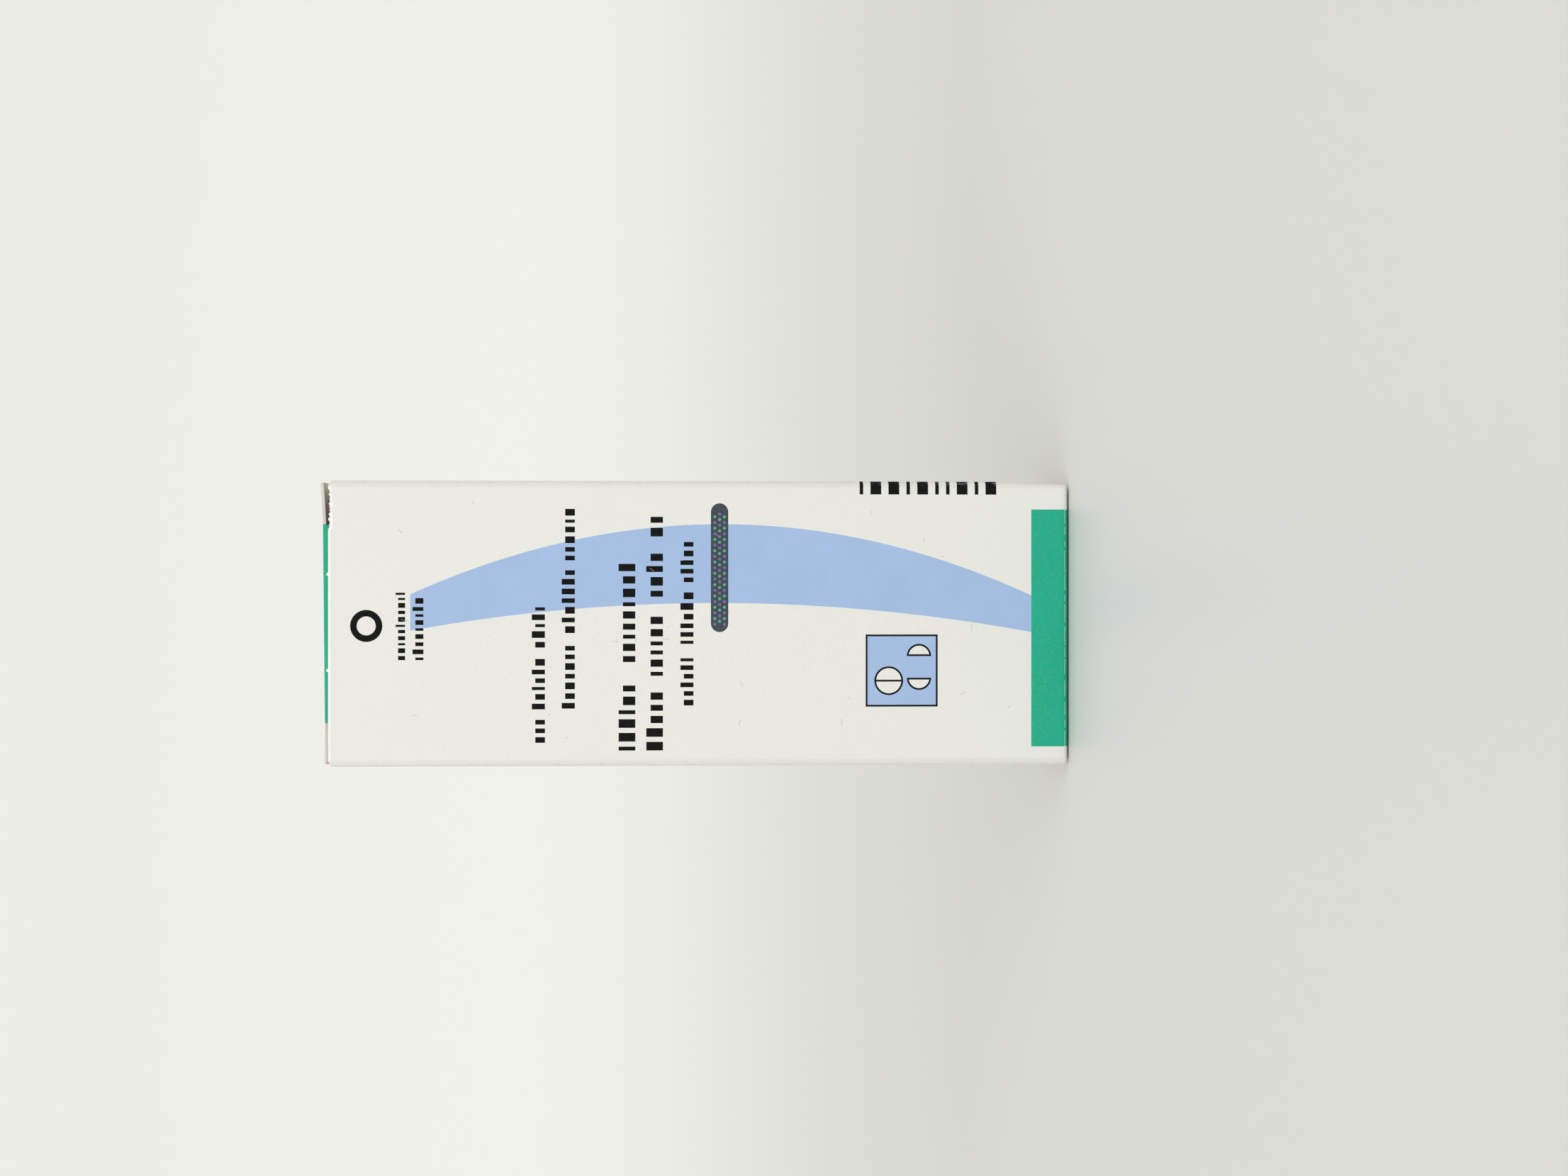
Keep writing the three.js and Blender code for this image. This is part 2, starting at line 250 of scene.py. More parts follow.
# Colours as linear red, green and blue
WHITE_CARD = (0.828, 0.830, 0.785)
RAW_CARD = (0.73, 0.69, 0.60)
BLUE = (0.372, 0.520, 0.785)
GREEN = (0.007, 0.418, 0.256)
BLACK = (0.004, 0.004, 0.004)
DUST = (0.38, 0.37, 0.34)
WORN_GREEN = (0.32, 0.70, 0.58)
# Brighter than the card: painted highlight along the front's upper edge, also the bare pulp of the torn
# face
HIGHLIGHT_AND_PULP_WHITE = (0.95, 0.95, 0.93)
SPECK_GREY = (0.42, 0.41, 0.38)
WORN_WHITE = (0.62, 0.60, 0.55)
SLATE = (0.042, 0.060, 0.075)
DOT_GREEN = (0.10, 0.42, 0.30)
DOT_VIOLET = (0.20, 0.14, 0.42)
TABLET_TONES = ((0.80, 0.78, 0.72), (0.90, 0.89, 0.85))
FILM_TONES = ((0.93, 0.94, 0.95), (0.97, 0.98, 0.98))
FOIL_TONES = ((0.60, 0.61, 0.62), (0.80, 0.81, 0.82))
PAPER_TONES = ((0.80, 0.80, 0.77), (0.88, 0.88, 0.86))
KNURL_SCALE = 320.0
# Floor and backdrop tones as painted light: the floor painted darker, the backdrop lighter
SHADED_FLOOR_TONE = (0.714, 0.710, 0.690)
LIT_BACKDROP_TONE = (0.880, 0.882, 0.855)
HORIZON = (0.70, 0.697, 0.672)

# Painted light: where the ground's colour starts and ends its change from the darker floor tone to the
# lighter backdrop tone, along the ground and up the backdrop
PAINTED_LIGHT_RISE = (140.0, 430.0)
WORLD_LIGHT = 0.90
SKY = (1.0, 0.995, 0.98)

# Lamps: place, size and power
WINDOW_LAMP = ((-500.0, -850.0, 560.0), 900.0, 2.1)
FILL_LAMP = ((500.0, -900.0, 460.0), 800.0, 1.7)

# Socket numbers of a colour mix node
MIX_FIRST, MIX_SECOND, MIX_RESULT = 6, 7, 2

# Axes that count in the distance from a fold
UPRIGHT = (1, 1, 0)
ACROSS = (0, 1, 1)

# The edge ink is the painted highlight along the front's upper edge, and also the bare pulp of the torn
# face
INKS = ("card", "blue", "green", "black", "slate", "dot_green", "dot_violet", "dust", "edge", "worn")
INK = {name: number for number, name in enumerate(INKS)}


def add_object(name, data):
    item = bpy.data.objects.new(name, data)
    bpy.context.collection.objects.link(item)
    return item


# Camera: the box stands upright and the photograph was taken with the camera turned on its side
def make_camera():
    lens = 39.06
    aside, distance, height = 4.9, 235.0, 47.5
    eye = Vector((aside, -DEPTH / 2 - distance, height))
    pitch = math.radians(1.9)
    forward = Vector((0, math.cos(pitch), -math.sin(pitch)))
    right = Vector((0, -math.sin(pitch), -math.cos(pitch)))
    up = (-forward).cross(right)
    turn = Matrix((right, up, -forward)).transposed().to_4x4()
    data = bpy.data.cameras.new("camera")
    data.lens = lens
    data.sensor_width = 36.0
    data.clip_start = 0.01
    data.clip_end = 10.0
    camera = add_object("camera", data)
    camera.matrix_world = Matrix.Translation(eye * MM) @ turn
    bpy.context.scene.camera = camera


# Shader nodes
class Shader:
    """A material with one Principled shader and short calls that add nodes to it."""

    def __init__(self, name, roughness, **values):
        self.material = bpy.data.materials.new(name)
        self.material.use_nodes = True
        self.tree = self.material.node_tree
        self.surface = self.tree.nodes["Principled BSDF"]
        self.surface.inputs["Roughness"].default_value = roughness
        for key, value in values.items():
            self.surface.inputs[key.replace("_", " ")].default_value = value
        self.place = self.add("ShaderNodeTexCoord").outputs["Object"]

    def add(self, kind, *links, **settings):
        node = self.tree.nodes.new(kind)
        for key, value in settings.items():
            setattr(node, key, value)
        for socket, value in links:
            if isinstance(value, bpy.types.NodeSocket):
                self.tree.links.new(value, node.inputs[socket])
            else:
                node.inputs[socket].default_value = value
        return node

    def noise(self, size, detail=3.0, roughness=0.6, place=None):
        links = [("Vector", place or self.place), ("Scale", 1 / (size * MM))]
        links += [("Detail", detail), ("Roughness", roughness)]
        return self.add("ShaderNodeTexNoise", *links).outputs["Fac"]

    def window(self, value, start, end):
        """0 at start and 1 at end, with a smooth way between."""
        links = (("Value", value), ("From Min", start), ("From Max", end))
        node = self.add("ShaderNodeMapRange", *links, interpolation_type="SMOOTHSTEP")
        return node.outputs["Result"]

    def math(self, operation, a, b=0.0):
        return self.add("ShaderNodeMath", (0, a), (1, b), operation=operation).outputs[0]

    def mix(self, factor, first, second):
        links = [("Factor", factor)]
        for socket, value in ((MIX_FIRST, first), (MIX_SECOND, second)):
            links.append((socket, (*value, 1.0) if isinstance(value, tuple) else value))
        return self.add("ShaderNodeMix", *links, data_type="RGBA").outputs[MIX_RESULT]

    def stretched(self, x, y, z):
        node = self.add("ShaderNodeMapping", ("Vector", self.place), ("Scale", (x, y, z)))
        return node.outputs["Vector"]

    def colour(self, value):
        self.tree.links.new(value, self.surface.inputs["Base Color"])

    def bump(self, height, strength, distance):
        links = (("Height", height), ("Strength", strength), ("Distance", distance * MM))
        node = self.add("ShaderNodeBump", *links)
        self.tree.links.new(node.outputs["Normal"], self.surface.inputs["Normal"])

    def vector(self, operation, *values):
        return self.add("ShaderNodeVectorMath", *enumerate(values), operation=operation).outputs[0]

    def fold_distance(self, keep):
        """Distance in metres from the box's edges: keep says which axes count."""
        middle = (0, 0, HEIGHT / 2 * MM)
        corner = (WIDTH / 2 * MM, DEPTH / 2 * MM, HEIGHT / 2 * MM)
        size = self.vector("ABSOLUTE", self.vector("SUBTRACT", self.place, middle))
        kept = self.vector("MULTIPLY", self.vector("SUBTRACT", size, corner), keep)
        return self.add("ShaderNodeVectorMath", (0, kept), operation="LENGTH").outputs["Value"]


def shade(colour, factor):
    return tuple(min(1.0, channel * factor) for channel in colour)


def fold_wear(shader):
    """Wear along the upright folds and the folds at both ends, broken up by noise."""
    near_upright = shader.window(shader.fold_distance(UPRIGHT), 0.75 * MM, 0.2 * MM)
    near_across = shader.window(shader.fold_distance(ACROSS), 0.7 * MM, 0.2 * MM)
    near = shader.math("MAXIMUM", near_upright, near_across)
    broken = shader.window(shader.noise(0.9, detail=4.0, roughness=0.7), 0.5, 0.62)
    return shader.math("MULTIPLY", near, broken)


def specks(shader, cell, reach, kept):
    """Small sparse marks: one in some of the cells of a cell pattern."""
    links = (("Vector", shader.place), ("Scale", 1 / (cell * MM)))
    cells = shader.add("ShaderNodeTexVoronoi", *links)
    inside = shader.window(cells.outputs["Distance"], reach, reach * 0.55)
    chosen = shader.window(cells.outputs["Color"], kept, kept + 0.02)
    return shader.math("MULTIPLY", inside, chosen)


def board_bump(shader):
    """Fine calender grain of coated card, with a soft unevenness under it."""
    fine = shader.noise(0.16, detail=2.0)
    broad = shader.math("MULTIPLY", shader.noise(2.6, detail=2.0), 2.2)
    shader.bump(shader.math("ADD", fine, broad), strength=0.35, distance=0.02)


def coated_card():
    shader = Shader("coated_card", 0.55, Specular_IOR_Level=0.35)
    cloudy = shader.mix(shader.noise(14.0), shade(WHITE_CARD, 0.985), shade(WHITE_CARD, 1.015))
    grain = shader.window(shader.noise(0.22, detail=2.0), 0.42, 0.7)
    grained = shader.mix(grain, cloudy, shade(WHITE_CARD, 0.955))
    dotted = shader.mix(specks(shader, cell=7.0, reach=0.018, kept=0.62), grained, SPECK_GREY)
    faint = shader.mix(specks(shader, cell=4.2, reach=0.035, kept=0.74), dotted, shade(WHITE_CARD, 0.80))
    # Painted shade: the card is darkened a little on the rounded upright folds, where they turn away
    # from the light
    fold_shade_mask = shader.window(shader.fold_distance(UPRIGHT), 1.1 * MM, 0.8 * MM)
    rounded = shader.math("MULTIPLY", fold_shade_mask, 0.6)
    folded = shader.mix(rounded, faint, shade(WHITE_CARD, 0.90))
    worn = shader.math("MULTIPLY", fold_wear(shader), 0.35)
    shader.colour(shader.mix(worn, folded, WORN_WHITE))
    board_bump(shader)
    return shader.material


def printed(name, ink, roughness=0.5, mottle=0.06, gloss=0.35, paling=0.05):
    shader = Shader(name, roughness, Specular_IOR_Level=gloss)
    cloudy = shader.mix(shader.noise(5.0), shade(ink, 1 - mottle), shade(ink, 1 + mottle))
    pale = tuple(channel + (white - channel) * paling for channel, white in zip(ink, WHITE_CARD))
    grained = shader.mix(shader.window(shader.noise(0.2, detail=2.0), 0.5, 0.72), cloudy, pale)
    spots = specks(shader, cell=2.4, reach=0.025, kept=0.84)
    missed = shader.mix(spots, grained, shade(WHITE_CARD, 0.92))
    worn = shader.math("MULTIPLY", fold_wear(shader), 0.22)
    shader.colour(shader.mix(worn, missed, shade(WHITE_CARD, 0.95)))
    board_bump(shader)
    return shader.material


def raw_card():
    """Uncoated inner face and cut edges, with short fibres."""
    shader = Shader("raw_card", 0.85, Specular_IOR_Level=0.2)
    fibres = shader.noise(0.3, place=shader.stretched(1.0, 1.0, 2.0))
    tone = shader.mix(shader.window(fibres, 0.3, 0.75), shade(RAW_CARD, 0.95), shade(RAW_CARD, 1.04))
    flecked = shader.mix(specks(shader, cell=1.6, reach=0.06, kept=0.86), tone, shade(RAW_CARD, 0.78))
    shader.colour(flecked)
    shader.bump(fibres, strength=0.3, distance=0.03)
    return shader.material


def tablet_surface():
    shader = Shader("pressed_tablet", 0.8, Specular_IOR_Level=0.25)
    grains = shader.noise(0.35, detail=4.0, roughness=0.7)
    shader.colour(shader.mix(shader.window(grains, 0.3, 0.7), *TABLET_TONES))
    shader.bump(grains, strength=0.4, distance=0.05)
    return shader.material


def blister_surface():
    shader = Shader("clear_film", 0.08, Transmission_Weight=0.92, IOR=1.45)
    waves = shader.noise(3.0, detail=2.0)
    shader.colour(shader.mix(waves, *FILM_TONES))
    shader.bump(waves, strength=0.2, distance=0.05)
    return shader.material


def foil_surface():
    """Aluminium foil sealed with a fine diamond knurl."""
    shader = Shader("lidding_foil", 0.32, Metallic=1.0)
    ridges = []
    for angle in (45, -45):
        links = (("Vector", shader.place), ("Rotation", (0, math.radians(angle), 0)))
        turned = shader.add("ShaderNodeMapping", *links).outputs["Vector"]
        links = (("Vector", turned), ("Scale", KNURL_SCALE))
        wave = shader.add("ShaderNodeTexWave", *links, bands_direction="X")
        ridges.append(wave.outputs["Fac"])
    knurl = shader.math("MULTIPLY", *ridges)
    shader.colour(shader.mix(knurl, *FOIL_TONES))
    shader.bump(knurl, strength=0.5, distance=0.08)
    return shader.material


def thin_paper():
    shader = Shader("leaflet_paper", 0.88, Specular_IOR_Level=0.2)
    pulp = shader.noise(0.8, detail=4.0, roughness=0.7)
    shader.colour(shader.mix(pulp, *PAPER_TONES))
    shader.bump(pulp, strength=0.3, distance=0.03)
    return shader.material


# Card sheets: each is cut flat in its own plane and then folded by a function of that plane
class Walk:
    """A line of straight runs and left turns, with the outer side on its right hand."""

    def __init__(self, start, heading, steps):
        self.parts = []
        self.marks = {}
        point = Vector(start)
        ahead = Vector(heading)
        travelled = 0.0
        for name, length, radius in steps:
            self.marks[name] = (travelled, travelled + length)
            self.parts.append((travelled, length, radius, point.copy(), ahead.copy()))
            travelled += length
            point, ahead = self.step(point, ahead, length, radius)

    @staticmethod
    def step(point, ahead, length, radius):
        """Place and heading after a straight run or, with a radius, an arc."""
        if not radius:
            return point + ahead * length, ahead.copy()
        left = Vector((-ahead.y, ahead.x))
        angle = length / radius
        moved = ahead * math.sin(angle) + left * (1 - math.cos(angle))
        turned = ahead * math.cos(angle) + left * math.sin(angle)
        return point + moved * radius, turned

    def at(self, distance):
        """Place and outward direction at a distance along the line."""
        start, _, radius, point, ahead = next(
            (part for part in self.parts if distance <= part[0] + part[1] + ROUNDING), self.parts[-1]
        )
        place, heading = self.step(point, ahead, distance - start, radius)
        return place, Vector((heading.y, -heading.x))

    def fold_stations(self, name, steps=TURN_STEPS):
        start, end = self.marks[name]
        return [start + (end - start) * step / steps for step in range(steps + 1)]


def inside(point, loop):
    x, y = point
    found = False
    for (ax, ay), (bx, by) in zip(loop, loop[1:] + loop[:1]):
        if (ay > y) != (by > y) and x < ax + (bx - ax) * (y - ay) / (by - ay):
            found = not found
    return found


def loop_box(loop):
    xs, ys = zip(*loop)
    return min(xs), min(ys), max(xs), max(ys)


def cut_sheet(outline, lines, points, shapes):
    """Triangles of a flat sheet whose edges follow its outline, fold lines and printed shapes."""
    places = []
    edges = []
    for loop in [outline] + [shape for _, shape in shapes]:
        first = len(places)
        places.extend(Vector(point) for point in loop)
        edges.extend((first + k, first + (k + 1) % len(loop)) for k in range(len(loop)))
    for line in lines:
        edges.append((len(places), len(places) + 1))
        places.extend(Vector(point) for point in line)
    places.extend(Vector(point) for point in points if inside(point, outline))
    found, _, faces, _, _, _ = delaunay_2d_cdt(places, edges, [], 0, MERGE_DISTANCE)
    boxes = [loop_box(shape) for _, shape in shapes]
    kept = []
    inks = []
    for face in faces:
        centre = sum((found[index] for index in face), Vector((0, 0))) / len(face)
        if not inside(centre, outline):
            continue
        ink = 0
        for (number, shape), (x0, y0, x1, y1) in zip(shapes, boxes):
            if x0 <= centre.x <= x1 and y0 <= centre.y <= y1 and inside(centre, shape):
                ink = number
        kept.append(face)
        inks.append(ink)
    return found, kept, inks


def fold_sheet(name, sheet, fold, materials, thickness=BOARD, offset=-1.0):
    """Makes the folded sheet a solid, with the last material on its inner face and its cut edges.

    An offset of -1 keeps the sheet as the outer face, and 0 keeps it in the middle.
    """
    flat, faces, inks = sheet
    mesh = bpy.data.meshes.new(name)
    mesh.from_pydata([fold(point) * MM for point in flat], [], faces)
    for material in materials:
        mesh.materials.append(material)
    mesh.polygons.foreach_set("material_index", inks)
    piece = add_object(name, mesh)
    remove_loose(mesh)
    solid = piece.modifiers.new("board", "SOLIDIFY")
    solid.thickness = thickness * MM
    solid.offset = offset
    solid.use_even_offset = False
    solid.material_offset = len(materials)
    solid.material_offset_rim = len(materials)
    settle(piece)
    return piece


def remove_loose(mesh):
    """Drops the points that no face uses."""
    used = {index for polygon in mesh.polygons for index in polygon.vertices}
    if len(used) == len(mesh.vertices):
        return
    renumber = {old: new for new, old in enumerate(sorted(used))}
    points = [mesh.vertices[old].co.copy() for old in sorted(used)]
    faces = [[renumber[index] for index in polygon.vertices] for polygon in mesh.polygons]
    inks = [polygon.material_index for polygon in mesh.polygons]
    mesh.clear_geometry()
    mesh.from_pydata(points, [], faces)
    mesh.polygons.foreach_set("material_index", inks)


def smooth(mesh, angle):
    """Smooth shading, apart from edges that turn by more than the angle in degrees."""
    mesh.shade_smooth()
    mesh.set_sharp_from_angle(angle=math.radians(angle))


def settle(piece):
    """Applies the modifiers, then smooths the mesh apart from its sharp edges."""
    bpy.context.view_layer.update()
    solved = piece.evaluated_get(bpy.context.evaluated_depsgraph_get())
    mesh = bpy.data.meshes.new_from_object(solved)
    piece.modifiers.clear()
    piece.data = mesh
    smooth(mesh, SMOOTH_ANGLE)


# Printed shapes, as loops in the flat sheet
def rectangle(x0, x1, y0, y1):
    return [(x0, y0), (x1, y0), (x1, y1), (x0, y1)]


def disc(x, y, radius, points, start=0.0, turn=1.0):
    """A circle, or an arc whose start and length are shares of a turn."""
    steps = points if turn == 1.0 else points + 1
    angles = [math.tau * (start + turn * k / points) for k in range(steps)]
    return [(x + radius * math.cos(a), y + radius * math.sin(a)) for a in angles]


def half_disc(x, y, radius, points, start):
    return disc(x, y, radius, points, start, turn=0.5)


def cubic(controls, t):
    a, b, c, d = controls
    u = 1 - t
    return a * u**3 + 3 * b * t * u**2 + 3 * c * t**2 * u + d * t**3


def stripe():
    low, high = STRIPE_Z
    steps = [k / STRIPE_STEPS for k in range(STRIPE_STEPS + 1)]
    right = [(cubic(STRIPE_RIGHT, t), low + (high - low) * t) for t in steps]
    left = [(cubic(STRIPE_LEFT, t), low + (high - low) * t) for t in reversed(steps)]
    return right + left


def block_run(x0, x1, z0, z1, draw):
    """A run of plain upright blocks of a few widths."""
    tall = z1 - z0
    blocks = []
    x = x0
    while True:
        wide = draw.choice(BLOCK_WIDTHS) * tall
        high = draw.choice(BLOCK_HEIGHTS) * tall
        if x + wide > x1:
            return blocks
        blocks.append(rectangle(x, x + wide, z0, z0 + high))
        x += wide + BLOCK_GAP * tall


def hairs(draw):
    """Short dust fibres that lie on the card."""
    left, right, low, high = HAIR_FIELD
    strands = []
    for _ in range(HAIRS):
        x = draw.uniform(left, right)
        z = draw.uniform(low, high)
        angle = draw.uniform(0, math.pi)
        long = draw.uniform(*HAIR_LENGTHS)
        bend = draw.uniform(-HAIR_BEND, HAIR_BEND)
        along = Vector((math.cos(angle), math.sin(angle)))
        across = Vector((-along.y, along.x))
        middle = [
            Vector((x, z)) + (along * t + across * bend * t * (1 - t)) * long for t in HAIR_STEPS
        ]
        side = across * HAIR_WIDTH / 2
        near_side = [tuple(place - side) for place in middle]
        far_side = [tuple(place + side) for place in reversed(middle)]
        strands.append(near_side + far_side)
    return strands


def dotted_bar():
    x0, x1, z0, z1 = DOTTED_BAR
    radius = (z1 - z0) / 2
    middle = (z0 + z1) / 2
    right = half_disc(x1 - radius, middle, radius, points=10, start=-0.25)
    left = half_disc(x0 + radius, middle, radius, points=10, start=0.25)
    shapes = [(INK["slate"], right + left)]
    columns = int((x1 - x0 - DOT_MARGINS) / DOT_PITCH)
    for row in range(DOT_ROWS):
        for column in range(columns):
            x = x0 + DOT_START + DOT_PITCH * (column + (row % 2) / 2)
            z = middle + (row - (DOT_ROWS - 1) / 2) * DOT_ROW_PITCH
            ink = INK["dot_green"] if (column + row) % 2 else INK["dot_violet"]
            shapes.append((ink, disc(x, z, DOT_RADIUS, points=8)))
    return shapes


def picture():
    """A plain sketch in a frame: one round scored tablet and its two halves."""
    x, z, size = PICTURE
    line = OUTLINE
    frame_line = rectangle(x, x + size, z, z + size)
    ground = rectangle(x + line, x + size - line, z + line, z + size - line)
    shapes = [(INK["black"], frame_line), (INK["blue"], ground)]
    middle_x, middle_z, radius = (share * size for share in SKETCH_TABLET)
    middle_x += x
    middle_z += z
    shapes.append((INK["black"], disc(middle_x, middle_z, radius, points=32)))
    shapes.append((INK["card"], disc(middle_x, middle_z, radius - line, points=32)))
    score = rectangle(middle_x - line / 2, middle_x + line / 2, middle_z - radius, middle_z + radius)
    shapes.append((INK["black"], score))
    radius = SKETCH_HALF_RADIUS * size
    middle_z = z + SKETCH_HALF_LEVEL * size
    for start, share in SKETCH_HALVES:
        middle_x = x + share * size
        shapes.append((INK["black"], half_disc(middle_x, middle_z, radius, 16, start)))
        cut = middle_x + (line if start < 0 else -line)
        keep = max if start < 0 else min
        half = half_disc(middle_x, middle_z, radius - line, 16, start)
        shapes.append((INK["card"], [(keep(px, cut), pz) for px, pz in half]))
    return shapes


def edge_bars(edge):
    shapes = []
    z = EDGE_BARS_Z
    left, right = edge - BARS_ON_FRONT, edge + BARS_ON_SIDE
    for kind in EDGE_BARS:
        tall = WIDE_BAR if kind == "W" else NARROW_BAR
        shapes.append((INK["black"], rectangle(left, right, z, z + tall)))
        z += tall + BAR_GAP
    return shapes


def torn_face():
    """Bare pulp below the ragged edge, where the coating came off."""
    start, end, pitch, deep = TORN
    draw = random.Random(5)
    count = round((end - start) / pitch / 2)
    low = [
        (start + 2 * pitch * k, CUT_EDGE - deep - draw.uniform(*TORN_FACE)) for k in range(count + 1)
    ]
    return [*low, (end, CUT_EDGE), (start, CUT_EDGE)]


def front_print(middle, right_edge):
    """Everything printed on the front, shifted from the panel's middle to its place on the sheet."""
    x0, x1, top = GREEN_BAND
    mark_x, mark_z, mark_out, mark_in = MARK
    draw = random.Random(7)
    half = WIDTH / 2 - CORNER
    shapes = [(INK["blue"], stripe()), (INK["green"], rectangle(x0, x1, HEIGHT - JOIN, top))]
    # Painted highlight: a band brighter than the card along the front's upper edge
    shapes.append((INK["edge"], rectangle(-half, half, CUT_EDGE - EDGE_HIGHLIGHT, CUT_EDGE + TIE[1])))
    shapes.append((INK["edge"], torn_face()))
    shapes.append((INK["black"], disc(mark_x, mark_z, mark_out, points=40)))
    shapes.append((INK["card"], disc(mark_x, mark_z, mark_in, points=32)))
    for low, high, rows in BLOCK_ROWS:
        for left, right in rows:
            shapes += [(INK["black"], block) for block in block_run(left, right, low, high, draw)]
    shapes += dotted_bar() + picture() + [(INK["dust"], strand) for strand in hairs(draw)]
    moved = [(ink, [(x + middle, z) for x, z in loop]) for ink, loop in shapes]
    return moved + edge_bars(right_edge)


# Sleeve
PANELS = ("left", "front", "right", "back")


def sleeve_walk():
    turn = CORNER * math.pi / 2
    wide = WIDTH - 2 * CORNER
    deep = DEPTH - 2 * CORNER
    steps = (
        ("left", DEPTH - SEAM - CORNER, 0), ("left_front", turn, CORNER),
        ("front", wide, 0), ("front_right", turn, CORNER),
        ("right", deep, 0), ("right_back", turn, CORNER),
        ("back", wide - SEAM, 0), ("back_left", turn, CORNER),
        ("glue", GLUE_FLAP, 0),
    )
    return Walk((-WIDTH / 2, DEPTH / 2 - SEAM), (0, -1), steps)


def bent_inward(base, normal, z, start, upward):
    """Folds what lies past the bend line over the end of the box."""
    past = (z - start) * upward
    if past <= 0:
        return Vector((base.x, base.y, z))
    arc = BEND * math.pi / 2
    angle = min(past / BEND, math.pi / 2)
    inward = BEND * (1 - math.cos(angle)) + max(0.0, past - arc)
    place = base - normal * inward
    return Vector((place.x, place.y, start + upward * BEND * math.sin(angle)))


def along_side(start, toward_back, y):
    """Where on the sheet a point of a side panel lies, given its distance behind the box's middle."""
    return start + DEPTH / 2 - CORNER + y if toward_back else start + DEPTH / 2 - SEAM - y


def flap_edge(start, toward_back, front, back):
    """The dust flap's outline: distance along the sheet, and length past its bend line."""
    tip = BEND * math.pi / 2 + WIDTH / 2 - BEND - FLAP_TIP
    outline = [
        (front, 0.0), (front, tip - FLAP_TAPER / 2), (front + FLAP_CORNER, tip - FLAP_CORNER),
        (front + FLAP_TAPER / 2, tip), (back - FLAP_TAPER, tip), (back, FLAP_ROOT), (back, 0.0),
    ]
    points = [(along_side(start, toward_back, y), past) for y, past in outline]
    return points if toward_back else points[::-1]


def torn_edge(middle):
    """The ragged stretch of the front's upper edge, beside the lid's right slit lock."""
    start, end, pitch, deep = TORN
    draw = random.Random(3)
    count = round((end - start) / pitch)
    ragged = [
        (middle + start + pitch * k, CUT_EDGE - draw.uniform(TORN_EDGE_LEAST, deep))
        for k in range(1, count)
    ]
    return [(middle + start, CUT_EDGE), *ragged, (middle + end, CUT_EDGE)]


def sleeve_outline(walk):
    """The cut line of the sleeve, along its lower edge and back along its upper edge."""
    left, front, right, back, glue = (walk.marks[name] for name in (*PANELS, "glue"))
    edge = WIDTH / 2 - CORNER - LID_ROOT
    low_tab, high_tab = TAB_END, HEIGHT - TAB_END
    lower = [(0.0, LOW_BEND)]
    lower += [(s, LOW_BEND - past) for s, past in flap_edge(0.0, False, -FLAP_BACK, -FLAP_FRONT)]
    lower += [(left[1], LOW_BEND), (left[1], low_tab), (front[0] + edge, low_tab)]
    lower += [(front[0] + edge, HEIGHT - JOIN), (front[1] - edge, HEIGHT - JOIN)]
    lower += [(front[1] - edge, low_tab), (right[0], low_tab), (right[0], LOW_BEND)]
    lower += [(s, LOW_BEND - past) for s, past in flap_edge(right[0], True, -FLAP_BACK, -FLAP_FRONT)]
    lower += [(right[1], LOW_BEND), (right[1], HEIGHT - CORNER_TOP), (back[0], HEIGHT - CUT_EDGE)]
    lower += [(back[1], HEIGHT - CUT_EDGE), (glue[0], HEIGHT - CORNER_TOP)]
    lower += [(glue[0], GLUE_FLAP_INSET), (glue[1], 2 * GLUE_FLAP_INSET)]
    upper = [(0.0, BEND_START)]
    upper += [(s, BEND_START + past) for s, past in flap_edge(0.0, False, FLAP_FRONT, FLAP_BACK)]
    upper += [(left[1], BEND_START), (left[1], CORNER_TOP), (front[0], CUT_EDGE)]
    middle = sum(front) / 2
    wide, left_tall, right_tall = TIE
    for place in TIE_PLACES:
        x = middle + place
        upper += [(x - wide / 2, CUT_EDGE), (x - wide / 4, CUT_EDGE + left_tall)]
        upper += [(x + wide / 4, CUT_EDGE + right_tall), (x + wide / 2, CUT_EDGE)]
    upper += torn_edge(middle)
    upper += [(front[1], CUT_EDGE), (right[0], CORNER_TOP), (right[0], BEND_START)]
    upper += [(s, BEND_START + past) for s, past in flap_edge(right[0], True, FLAP_FRONT, FLAP_BACK)]
    far = back[0] + edge + 2 * LID_ROOT
    upper += [(right[1], BEND_START), (right[1], high_tab), (back[0] + edge, high_tab)]
    upper += [(back[0] + edge, JOIN), (far, JOIN), (far, high_tab), (glue[0], high_tab)]
    upper += [(glue[0], HEIGHT - GLUE_FLAP_INSET), (glue[1], HEIGHT - 2 * GLUE_FLAP_INSET)]
    return lower + upper[::-1]


